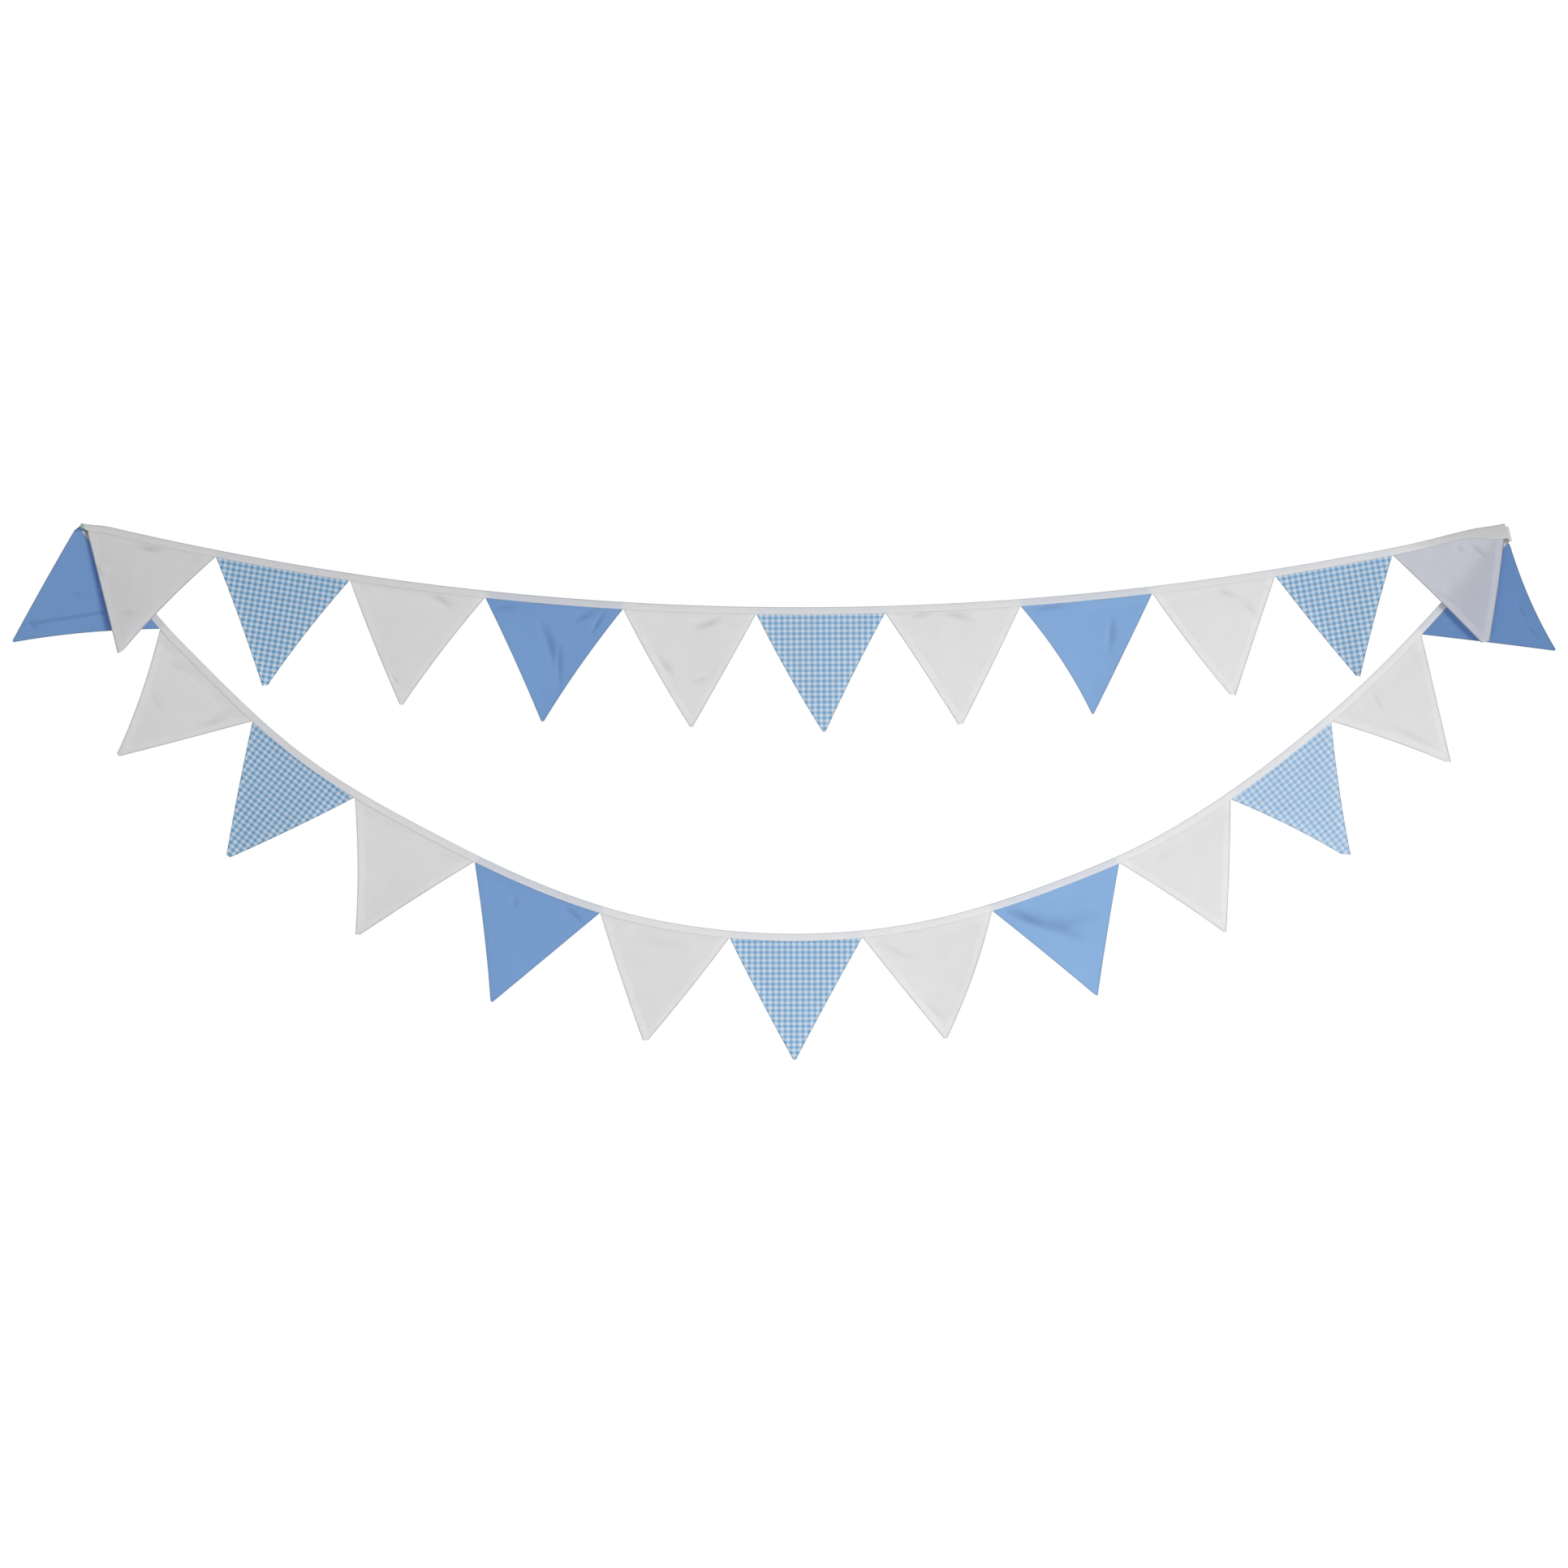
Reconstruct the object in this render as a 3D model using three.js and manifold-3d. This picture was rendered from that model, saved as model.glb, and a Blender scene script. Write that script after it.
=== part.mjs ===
// A fabric bunting: 24 triangular flags sewn edge to edge into one folded tape, hung as two swags from two
// wall pins. Millimetres, +Z up, +X to the right, and +Y into the wall, whose face is the plane y = 0.
// The origin is midway across between the two pins, level with the left one, on the wall's face.
import * as THREE from "three";
import { mergeVertices } from "three/addons/utils/BufferGeometryUtils.js";
import Module from "manifold-3d";

const wasm = await Module();
wasm.setup();

// Cloth and tape
const FLAG_THICK = 1;
const TAPE_WALL = 1;
const CLEAR = 0.35;
const CHANNEL_HALF = FLAG_THICK / 2 + CLEAR;
const TAPE_HALF = CHANNEL_HALF + TAPE_WALL;
const TAPE_WIDTH = 11;
const TAPE_SHOULDER = 1.2;
const TUCK = 8;
const SEAM_GAP = 0.4;
const FLAT_UNDER_TAPE = 16;
const LEAN_CURVE = 1.6;
const BULGE_CURVE = 0.7;

// Pins
const PIN_HEAD_R = 3.75;
const PIN_DOME = 1.8;
const PIN_RIM = 0.5;
const PIN_SHANK_R = 0.7;
const PIN_HOLE_R = PIN_SHANK_R + CLEAR;
const DRILL_LENGTH = 60;
const LEFT_PIN = { x: -1089.5, z: 0 };
const RIGHT_PIN = { x: 1089.5, z: -8 };

// How far in front of the wall the middle of the tape hangs, at each end of a swag and along the rest of it
const UPPER_DEPTH = { left: 6.6, middle: 3, right: 8.4 };
const LOWER_DEPTH = { left: 2.2, middle: 3, right: 2.2 };
const DEPTH_RAMP = 450;

// Each swag's top edge hangs as a catenary. param: the catenary's own. low: its lowest point. strays: how far
// the edge lies below the catenary, at shares of the tape's length. tapeEnds, flagEnds: where the tape and
// the row of flags end, as distances across from the origin. pinch: how narrow the tape is under the left
// pin. shoulders: how far the outer edges of the first and last flag run straight down before they slant.
const UPPER = {
  name: "upper",
  param: 4564,
  low: { x: 9, z: -124.7 },
  strays: [[0, 4], [0.02, -0.6], [0.93, 0], [0.975, -2.6], [1, 0.5]],
  depth: UPPER_DEPTH,
  tapeEnds: [-1093, 1092.5],
  flagEnds: [-1079.5, 1092],
  pinch: 0.65,
  shoulders: [0, 0],
};
const LOWER = {
  name: "lower",
  param: 1057,
  low: { x: 1.6, z: -624.4 },
  strays: [
    [0, -10.6], [0.09, -1], [0.18, 4.5], [0.29, -5.5], [0.42, 1],
    [0.55, 1.5], [0.65, -1.6], [0.73, 2.8], [0.84, 0.4], [1, -4],
  ],
  depth: LOWER_DEPTH,
  tapeEnds: [-1091, 1095],
  flagEnds: [-1096.2, 1087],
  pinch: 1,
  shoulders: [7.5, 11],
};
const PINCH_LENGTH = 14;

// The tape opens out towards the right pin, where it folds back: its width there, the length over which it
// opens, the shares of that length where its section steps, and the fold's upper and lower end
const OPEN_WIDTH = 23;
const OPEN_LENGTH = 75;
const OPEN_STATIONS = [0.35, 0.75];
const FOLD_TOP = { x: 1093.5, z: 1 };
const FOLD_BOTTOM = { x: 1098, z: -21 };
const FOLD_STEPS = 6;

// The flags from left to right. width: its top edge. height: from the tape to its tip. shift: the tip's
// distance from the middle, to the right. tip: how blunt the tip is. slant: how much lower the tip's left end
// is than its right end. bowL, bowR: how far its left and right edges bow out. lean: how far its tip stands
// forward. curlL, curlR: how far its edges turn forward. belly: how far its middle swells forward.
const COLUMNS = [
  "cloth", "width", "height", "shift", "tip", "slant", "bowL", "bowR", "lean", "curlL", "curlR", "belly",
];
const UPPER_FLAGS = [
  ["white", 201, 171.5, -14.5, 6.6, 5.5, 0, -4.5, 6, 1, 3, 1],
  ["gingham", 208.5, 181, 4, 8, 3, -2, -3.5, 5, 3, 1, 1],
  ["white", 209, 179, -2, 5, 0, 2, -3.5, 7, 1, 4, 2],
  ["blue", 212, 181.5, -3, 4, 0, -2, -4, 4, 4, 1, 0],
  ["white", 204, 176.5, 9, 4, 0, 3, 0.5, 8, 2, 3, 1],
  ["gingham", 197.5, 181, 4, 4.5, 0, 3, -2, 3, 1, 3, 2],
  ["white", 207.5, 176, 3, 7, 1.6, -1.5, 1, 6, 4, 1, 1],
  ["blue", 203, 175, -7, 3, 0, -7.5, 0.5, 9, 2, 4, 0],
  ["white", 190, 171, 5.5, 8.5, -2.4, 3, -0.5, 4, 3, 2, 2],
  ["gingham", 182.5, 173, 6.5, 6, -2, 1.5, -1.5, 6, 1, 3, 1],
  ["white", 177, 160, 22.5, 13, 0, -1.5, 1.5, 3, 2, 2, 1],
];
const LOWER_FLAGS = [
  ["blue", 200, 187.5, -26, 3, 0, 1, -5.5, 0.5, 0.5, 0, 0],
  ["white", 199.5, 182, -9, 5, 0, -5.5, 0.5, 6, 4, 1, 1],
  ["gingham", 194.5, 188, -4, 6.5, 0, 1.5, 2, 8, 1, 3, 1],
  ["white", 207.5, 183, -1, 6.5, 2.5, -4.5, -1.5, 4, 3, 4, 0],
  ["blue", 207, 188.5, 1, 3.5, 0, -2.5, 0, 9, 4, 1, 2],
  ["white", 200.5, 178.5, 4, 7.5, 1.8, 1.5, 2, 5, 1, 4, 1],
  ["gingham", 202, 187, -2.5, 4, 0, 1.5, -1, 7, 3, 2, 1],
  ["white", 201.5, 177, -7.5, 4.5, 0, 0.5, 6.5, 4, 2, 5, 0],
  ["blue", 207, 177, 0, 3.5, -3, -1, -1, 8, 4, 2, 1],
  ["white", 195.5, 172, -9.5, 3.5, 0, -2.5, 1.5, 5, 1, 3, 2],
  ["gingham", 194, 174.5, -9.5, 10.8, -10, -4, -3, 9, 3, 1, 0],
  ["white", 191.5, 169, -9.8, 5.5, -5.4, -3, 0, 4, 2, 3, 1],
  ["blue", 194.5, 170, 19, 3, 0, -0.5, -4, 0.5, 0, 0.5, 0],
];

// Steps of the solids
const FLAG_COLUMNS = 8;
const FLAG_ROWS = 7;
const TAPE_STEP = 45;
const PIN_SEGMENTS = 20;

const MATERIALS = {
  white: new THREE.MeshStandardMaterial({ color: 0xe4e5e8, roughness: 0.9, metalness: 0 }),
  gingham: new THREE.MeshStandardMaterial({ color: 0xa9c6e2, roughness: 0.9, metalness: 0 }),
  blue: new THREE.MeshStandardMaterial({ color: 0x6f97cb, roughness: 0.9, metalness: 0 }),
  tape: new THREE.MeshStandardMaterial({ color: 0xdfe0e2, roughness: 0.85, metalness: 0 }),
  pin: new THREE.MeshStandardMaterial({ color: 0xbfd6ca, roughness: 0.25, metalness: 0 }),
};

const lerp = THREE.MathUtils.lerp;
const smooth = THREE.MathUtils.smoothstep;
const mix = (a, b, t) => a.clone().lerp(b, t);
const wallPoint = ({ x, z }) => new THREE.Vector2(x, z);

// A swag's top edge as points of the wall's plane, by the distance along it, from its low point on.
function swagEdge(swag) {
  const { param, low, strays, depth } = swag;
  const along = (x) => param * Math.sinh((x - low.x) / param);
  const [left, right] = swag.tapeEnds.map(along);

  function stray(s) {
    const share = THREE.MathUtils.clamp((s - left) / (right - left), 0, 1);
    const next = Math.max(1, strays.findIndex(([place]) => place >= share));
    const [[from, before], [to, after]] = [strays[next - 1], strays[next]];
    return lerp(before, after, smooth(share, from, to));
  }

  function at(s) {
    const reach = Math.asinh(s / param);
    const slope = Math.atan(s / param);
    const down = new THREE.Vector2(Math.sin(slope), -Math.cos(slope));
    const point = new THREE.Vector2(low.x + param * reach, low.z + param * (Math.cosh(reach) - 1));
    return { point: point.addScaledVector(down, stray(s)), down };
  }

  function forward(s) {
    const fromLeft = lerp(depth.left, depth.middle, smooth(s - left, OPEN_LENGTH, DEPTH_RAMP));
    return lerp(depth.right, fromLeft, smooth(right - s, OPEN_LENGTH, DEPTH_RAMP));
  }

  return { along, left, right, at, forward };
}

// Moves every point of a closed shape by a map and joins the points that its faces share.
function bend(geometry, map) {
  const places = geometry.getAttribute("position");
  const point = new THREE.Vector3();
  for (let i = 0; i < places.count; i += 1) {
    point.fromBufferAttribute(places, i);
    places.setXYZ(i, ...map(point).toArray());
  }
  geometry.deleteAttribute("normal");
  geometry.deleteAttribute("uv");
  return mergeVertices(geometry, 1e-3);
}

// One flag's middle surface: across runs from its left edge to its right, down from the tape to its tip.
function flagSurface(edge, start, end, flag, shoulders) {
  const base = (across, fromTop) => {
    const { point, down } = edge.at(lerp(start + SEAM_GAP, end - SEAM_GAP, across));
    return point.addScaledVector(down, fromTop);
  };
  const corners = [base(0, TAPE_WIDTH), base(1, TAPE_WIDTH)];
  const side = corners[1].clone().sub(corners[0]).normalize();
  const out = new THREE.Vector2(side.y, -side.x);
  const tip = mix(corners[0], corners[1], 0.5)
    .addScaledVector(out, flag.height)
    .addScaledVector(side, flag.shift);
  const tips = [-0.5, 0.5].map((k) =>
    tip.clone().addScaledVector(side, k * flag.tip).addScaledVector(out, -k * flag.slant));
  const bows = [-flag.bowL, flag.bowR];

  return (across, down) => {
    const s = lerp(start, end, across);
    if (down < 0) {
      const place = base(across, TAPE_WIDTH + down * TUCK);
      return new THREE.Vector3(place.x, -edge.forward(s), place.y);
    }
    const sides = corners.map((corner, k) => {
      const fallen = down * flag.height;
      const straight = Math.min(fallen, shoulders[k]);
      const slanted = (fallen - straight) / (flag.height - shoulders[k]);
      return mix(corner.clone().addScaledVector(out, straight), tips[k], slanted)
        .addScaledVector(side, bows[k] * 4 * down * (1 - down));
    });
    const curve = base(across, TAPE_WIDTH).sub(mix(corners[0], corners[1], across));
    const place = mix(sides[0], sides[1], across).addScaledVector(curve, (1 - down) ** 2);
    const free = Math.max(0, (down * flag.height - FLAT_UNDER_TAPE) / (flag.height - FLAT_UNDER_TAPE));
    const curl = flag.curlL * (1 - across) ** 2 + flag.curlR * across ** 2;
    const swell = flag.belly * 4 * across * (1 - across);
    const bulge = Math.sin(Math.PI * free ** BULGE_CURVE);
    const forward = flag.lean * free ** LEAN_CURVE + (curl + swell) * bulge;
    return new THREE.Vector3(place.x, -edge.forward(s) - forward, place.y);
  };
}

function flagSolid(surface, height) {
  const slab = new THREE.BoxGeometry(1, FLAG_THICK, 1, FLAG_COLUMNS, 1, FLAG_ROWS);
  const flat = FLAT_UNDER_TAPE / height;
  const rows = [-1, 0, flat];
  for (let i = 1; rows.length <= FLAG_ROWS; i += 1) {
    rows.push(lerp(flat, 1, i / (FLAG_ROWS - 2)));
  }
  return bend(slab, ({ x, y, z }) => {
    const down = rows[Math.round((0.5 - z) * FLAG_ROWS)];
    return surface(x + 0.5, down).add(new THREE.Vector3(0, y, 0));
  });
}

function flagMeshes(swag, edge, rows) {
  const flags = rows.map((row) => Object.fromEntries(COLUMNS.map((column, i) => [column, row[i]])));
  const total = flags.reduce((sum, flag) => sum + flag.width, 0);
  const [first, last] = swag.flagEnds.map(edge.along);
  let done = 0;
  return flags.map((flag, i) => {
    const start = lerp(first, last, done / total);
    done += flag.width;
    const end = lerp(first, last, done / total);
    const shoulders = [i === 0 ? swag.shoulders[0] : 0, i === flags.length - 1 ? swag.shoulders[1] : 0];
    const solid = flagSolid(flagSurface(edge, start, end, flag, shoulders), flag.height);
    const mesh = new THREE.Mesh(pierced(solid), MATERIALS[flag.cloth]);
    mesh.name = `flag_${swag.name}_${String(i + 1).padStart(2, "0")}_${flag.cloth}`;
    return mesh;
  });
}

// The tape as a row of stations: the point on its folded edge, the vector across its width, the direction
// that its inner face looks in, and how far in front of the wall its middle is.
function tapeStations(upper, lower) {
  const crease = wallPoint(FOLD_BOTTOM).sub(wallPoint(FOLD_TOP));
  const creaseOut = new THREE.Vector2(-crease.y, crease.x).normalize();
  const stations = [];

  function addSwag(edge, pinch, inward, backwards) {
    const count = Math.ceil((edge.right - edge.left) / TAPE_STEP);
    const openFrom = edge.right - OPEN_LENGTH;
    const places = [];
    for (let i = 0; i <= count; i += 1) {
      places.push(lerp(edge.left, edge.right, i / count));
    }
    places.push(edge.left + PINCH_LENGTH, ...OPEN_STATIONS.map((share) => lerp(openFrom, edge.right, share)));
    places.sort((a, b) => (backwards ? b - a : a - b));
    for (const s of places) {
      const { point, down } = edge.at(s);
      const opened = smooth(s, openFrom, edge.right);
      const pinched = lerp(pinch, 1, smooth(s, edge.left, edge.left + PINCH_LENGTH));
      const plain = down.clone().multiplyScalar(TAPE_WIDTH * pinched);
      const open = crease.clone().multiplyScalar(OPEN_WIDTH / crease.length());
      stations.push({ point, across: mix(plain, open, opened), forward: edge.forward(s), inward });
    }
  }

  addSwag(upper, UPPER.pinch, new THREE.Vector3(0, 1, 0), false);
  const radius = (UPPER_DEPTH.right - LOWER_DEPTH.right) / 2;
  const centre = (UPPER_DEPTH.right + LOWER_DEPTH.right) / 2;
  for (let i = 1; i < FOLD_STEPS; i += 1) {
    const turn = (Math.PI * i) / FOLD_STEPS;
    const outward = Math.sin(turn);
    stations.push({
      point: wallPoint(FOLD_TOP).addScaledVector(creaseOut, radius * outward),
      across: crease,
      forward: centre + radius * Math.cos(turn),
      inward: new THREE.Vector3(-creaseOut.x * outward, Math.cos(turn), -creaseOut.y * outward),
    });
  }
  addSwag(lower, LOWER.pinch, new THREE.Vector3(0, -1, 0), true);
  return stations;
}

// The tape's section: folded over at 0, and open at its width, with the flags' channel between its walls.
function tapeSection() {
  const innerShoulder = TAPE_SHOULDER + TAPE_WALL / 2;
  return new THREE.Shape(
    [
      [TAPE_WIDTH, TAPE_HALF], [TAPE_SHOULDER, TAPE_HALF], [0, TAPE_HALF / 2],
      [0, -TAPE_HALF / 2], [TAPE_SHOULDER, -TAPE_HALF], [TAPE_WIDTH, -TAPE_HALF],
      [TAPE_WIDTH, -CHANNEL_HALF], [innerShoulder, -CHANNEL_HALF], [TAPE_SHOULDER, 0],
      [innerShoulder, CHANNEL_HALF], [TAPE_WIDTH, CHANNEL_HALF],
    ].map(([across, depth]) => new THREE.Vector2(across, depth)),
  );
}

function tapeSolid(upper, lower) {
  const stations = tapeStations(upper, lower);
  const steps = stations.length - 1;
  const strip = new THREE.ExtrudeGeometry(tapeSection(), { depth: steps, steps, bevelEnabled: false });
  const tape = bend(strip, ({ x, y, z }) => {
    const { point, across, forward, inward } = stations[Math.round(z)];
    const fromFold = x < TAPE_WIDTH ? x / across.length() : 1;
    const place = point.clone().addScaledVector(across, fromFold);
    return new THREE.Vector3(place.x, -forward, place.y).addScaledVector(inward, y);
  });
  return pierced(tape);
}

function toManifold(geometry) {
  const mesh = new wasm.Mesh({
    numProp: 3,
    vertProperties: new Float32Array(geometry.getAttribute("position").array),
    triVerts: new Uint32Array(geometry.getIndex().array),
  });
  return new wasm.Manifold(mesh);
}

function fromManifold(solid) {
  const { vertProperties, triVerts } = solid.getMesh();
  const geometry = new THREE.BufferGeometry();
  geometry.setAttribute("position", new THREE.BufferAttribute(vertProperties, 3));
  geometry.setIndex(new THREE.BufferAttribute(triVerts, 1));
  return geometry;
}

// Cloth with the holes that the pins have made in it, where it reaches a pin at all.
function pierced(cloth) {
  let solid = toManifold(cloth);
  for (const { x, z } of [LEFT_PIN, RIGHT_PIN]) {
    const drill = new THREE.CylinderGeometry(PIN_HOLE_R, PIN_HOLE_R, DRILL_LENGTH, PIN_SEGMENTS);
    solid = solid.subtract(toManifold(bend(drill, (point) => point.add(new THREE.Vector3(x, 0, z)))));
  }
  return fromManifold(solid);
}

// A pin from the wall's face to its domed head, which lies on the cloth that it holds.
function pinSolid(underHead) {
  const rim = -underHead - PIN_RIM;
  const dome = new THREE.EllipseCurve(0, rim, PIN_HEAD_R, PIN_DOME - PIN_RIM, 0, -Math.PI / 2, true);
  const profile = [
    new THREE.Vector2(0, 0),
    new THREE.Vector2(PIN_SHANK_R, 0),
    new THREE.Vector2(PIN_SHANK_R, -underHead),
    new THREE.Vector2(PIN_HEAD_R, -underHead),
    ...dome.getPoints(5),
  ];
  profile[profile.length - 1].x = 0;
  return bend(new THREE.LatheGeometry(profile.reverse(), PIN_SEGMENTS), (point) => point);
}

function pinMesh(name, { x, z }, clothFront) {
  const mesh = new THREE.Mesh(pinSolid(clothFront + TAPE_HALF + CLEAR), MATERIALS.pin);
  mesh.name = name;
  mesh.position.set(x, 0, z);
  return mesh;
}

const upperEdge = swagEdge(UPPER);
const lowerEdge = swagEdge(LOWER);
const tape = new THREE.Mesh(tapeSolid(upperEdge, lowerEdge), MATERIALS.tape);
tape.name = "tape";

const bunting = new THREE.Group();
bunting.add(
  ...flagMeshes(UPPER, upperEdge, UPPER_FLAGS),
  ...flagMeshes(LOWER, lowerEdge, LOWER_FLAGS),
  tape,
  pinMesh("pin_left", LEFT_PIN, UPPER_DEPTH.left),
  pinMesh("pin_right", RIGHT_PIN, LOWER_DEPTH.right),
);

export default bunting;
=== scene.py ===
# The looks of a fabric bunting: triangular cotton flags sewn edge to edge into one folded tape, hung as two
# swags from two wall pins. Metres, +Z up, +X to the right, and +Y into the wall, whose face is the plane y = 0.
import math
from collections import namedtuple

import bmesh
import bpy
from mathutils import Matrix, Vector, noise


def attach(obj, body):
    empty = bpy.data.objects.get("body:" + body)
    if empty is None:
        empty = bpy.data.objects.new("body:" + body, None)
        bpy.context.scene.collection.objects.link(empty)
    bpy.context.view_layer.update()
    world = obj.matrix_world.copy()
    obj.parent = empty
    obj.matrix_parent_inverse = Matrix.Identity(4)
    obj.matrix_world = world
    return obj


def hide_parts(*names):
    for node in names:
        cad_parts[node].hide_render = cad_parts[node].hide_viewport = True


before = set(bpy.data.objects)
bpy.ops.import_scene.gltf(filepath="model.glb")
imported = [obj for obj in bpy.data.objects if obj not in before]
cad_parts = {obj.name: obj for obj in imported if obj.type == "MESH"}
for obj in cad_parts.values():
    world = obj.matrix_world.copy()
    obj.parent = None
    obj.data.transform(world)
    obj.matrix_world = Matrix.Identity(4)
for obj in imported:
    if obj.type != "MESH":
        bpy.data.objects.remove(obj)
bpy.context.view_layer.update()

# Cloth and tape
FLAG_THICK = 0.0009
TAPE_THICK = 0.00045
TAPE_WALL_AT = 0.00088
TAPE_EDGE_AT = 0.00074
TAPE_WIDTH = 0.011
TAPE_FOLD = 0.0012
TUCK = 0.008
SEAM_GAP = 0.0004
FLAT_UNDER_TAPE = 0.016
LEAN_CURVE = 1.6
BULGE_CURVE = 0.7
CLOSEST_TO_WALL = 0.0008
ALLOWANCE = 0.0105
THREAD = 0.00045

# Pins
PIN_HEAD_R = 0.00375
PIN_DOME = 0.0018
PIN_RIM = 0.0005
PIN_SHANK_R = 0.0007
PIN_ABOVE_TAPE = 0.0022
LEFT_PIN = Vector((-1.0895, 0.0))
RIGHT_PIN = Vector((1.0895, -0.008))

# How far in front of the wall the middle of the tape hangs, at each end of a swag and along the rest of it
Depths = namedtuple("Depths", "left middle right")
UPPER_DEPTHS = Depths(0.0066, 0.003, 0.0084)
LOWER_DEPTHS = Depths(0.0022, 0.003, 0.0022)
DEPTH_RAMP = 0.45

# The tape opens out towards the right pin, where it folds back
PINCH_START = 0.005
PINCH_LENGTH = 0.0115
OPEN_WIDTH = 0.0232
OPEN_LENGTH = 0.075
FOLD_TOP = Vector((1.0952, -0.0012))
FOLD_BOTTOM = Vector((1.1008, -0.0235))

# The flags from left to right. width: its top edge. height: from the tape to its tip. shift: the tip's distance
# from the middle, to the right. tip: how blunt the tip is. slant: how much lower the tip's left end is than its
# right end. bow: how far its left and right edges bow out. lean: how far its tip stands forward. curl: how far
# its edges turn forward. belly: how far its middle swells forward.
Flag = namedtuple("Flag", "cloth width height shift tip slant bow_l bow_r lean curl_l curl_r belly")
UPPER_FLAGS = [
    Flag("white", 0.201, 0.1715, -0.0145, 0.0066, 0.0055, 0.0, -0.0045, 0.006, 0.001, 0.003, 0.001),
    Flag("gingham", 0.2085, 0.181, 0.004, 0.008, 0.003, -0.002, -0.0035, 0.005, 0.003, 0.001, 0.001),
    Flag("white", 0.209, 0.179, -0.002, 0.005, 0.0, 0.002, -0.0035, 0.007, 0.001, 0.004, 0.002),
    Flag("blue", 0.212, 0.1815, -0.003, 0.004, 0.0, -0.002, -0.004, 0.004, 0.004, 0.001, 0.0),
    Flag("white", 0.204, 0.1765, 0.009, 0.004, 0.0, 0.003, 0.0005, 0.008, 0.002, 0.003, 0.001),
    Flag("gingham", 0.1975, 0.181, 0.004, 0.0045, 0.0, 0.003, -0.002, 0.003, 0.001, 0.003, 0.002),
    Flag("white", 0.2075, 0.176, 0.003, 0.007, 0.0016, -0.0015, 0.001, 0.006, 0.004, 0.001, 0.001),
    Flag("blue", 0.203, 0.175, -0.007, 0.003, 0.0, -0.0075, 0.0005, 0.009, 0.002, 0.004, 0.0),
    Flag("white", 0.19, 0.171, 0.0055, 0.0085, -0.0024, 0.003, -0.0005, 0.004, 0.003, 0.002, 0.002),
    Flag("gingham", 0.1825, 0.173, 0.0065, 0.006, -0.002, 0.0015, -0.0015, 0.006, 0.001, 0.003, 0.001),
    Flag("white", 0.177, 0.16, 0.0225, 0.013, 0.0, -0.0015, 0.0015, 0.003, 0.002, 0.002, 0.001),
]
LOWER_FLAGS = [
    Flag("blue", 0.2, 0.1875, -0.026, 0.003, 0.0, 0.001, -0.0055, 0.0005, 0.0005, 0.0, 0.0),
    Flag("white", 0.1995, 0.182, -0.009, 0.005, 0.0, -0.0055, 0.0005, 0.006, 0.004, 0.001, 0.001),
    Flag("gingham", 0.1945, 0.188, -0.004, 0.0065, 0.0, 0.0015, 0.002, 0.008, 0.001, 0.003, 0.001),
    Flag("white", 0.2075, 0.183, -0.001, 0.0065, 0.0025, -0.0045, -0.0015, 0.004, 0.003, 0.004, 0.0),
    Flag("blue", 0.207, 0.1885, 0.001, 0.0035, 0.0, -0.0025, 0.0, 0.009, 0.004, 0.001, 0.002),
    Flag("white", 0.2005, 0.1785, 0.004, 0.0075, 0.0018, 0.0015, 0.002, 0.005, 0.001, 0.004, 0.001),
    Flag("gingham", 0.202, 0.187, -0.0025, 0.004, 0.0, 0.0015, -0.001, 0.007, 0.003, 0.002, 0.001),
    Flag("white", 0.2015, 0.177, -0.0075, 0.0045, 0.0, 0.0005, 0.0065, 0.004, 0.002, 0.005, 0.0),
    Flag("blue", 0.207, 0.177, 0.0, 0.0035, -0.003, -0.001, -0.001, 0.008, 0.004, 0.002, 0.001),
    Flag("white", 0.1955, 0.172, -0.0095, 0.0035, 0.0, -0.0025, 0.0015, 0.005, 0.001, 0.003, 0.002),
    Flag("gingham", 0.194, 0.1745, -0.0095, 0.0108, -0.01, -0.004, -0.003, 0.009, 0.003, 0.001, 0.0),
    Flag("white", 0.1915, 0.169, -0.0098, 0.0055, -0.0054, -0.003, 0.0, 0.004, 0.002, 0.003, 0.001),
    Flag("blue", 0.1945, 0.17, 0.019, 0.003, 0.0, -0.0005, -0.007, 0.0005, 0.0, 0.0005, 0.0),
]

# Flags that differ from the others of their cloth, each from 0 to 1. Painted shade (the first table): how much
# painted shade greys a flag that hangs in less light. PALER: how far its blue threads go from the deepest to the
# palest blue. DENSER: how much less light it lets through.
PAINTED_FLAG_SHADE = {"upper_01": 0.15, "upper_10": 0.05, "upper_11": 0.27, "lower_12": 0.03, "lower_13": 0.18}
PALER = {
    "upper_04": 0.38, "upper_06": 0.32, "upper_08": 0.85, "upper_10": 0.2, "lower_01": 0.38,
    "lower_03": 0.1, "lower_05": 0.42, "lower_07": 0.32, "lower_09": 1.0, "lower_11": 0.82,
}
DENSER = {"upper_01": 0.6}

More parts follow.
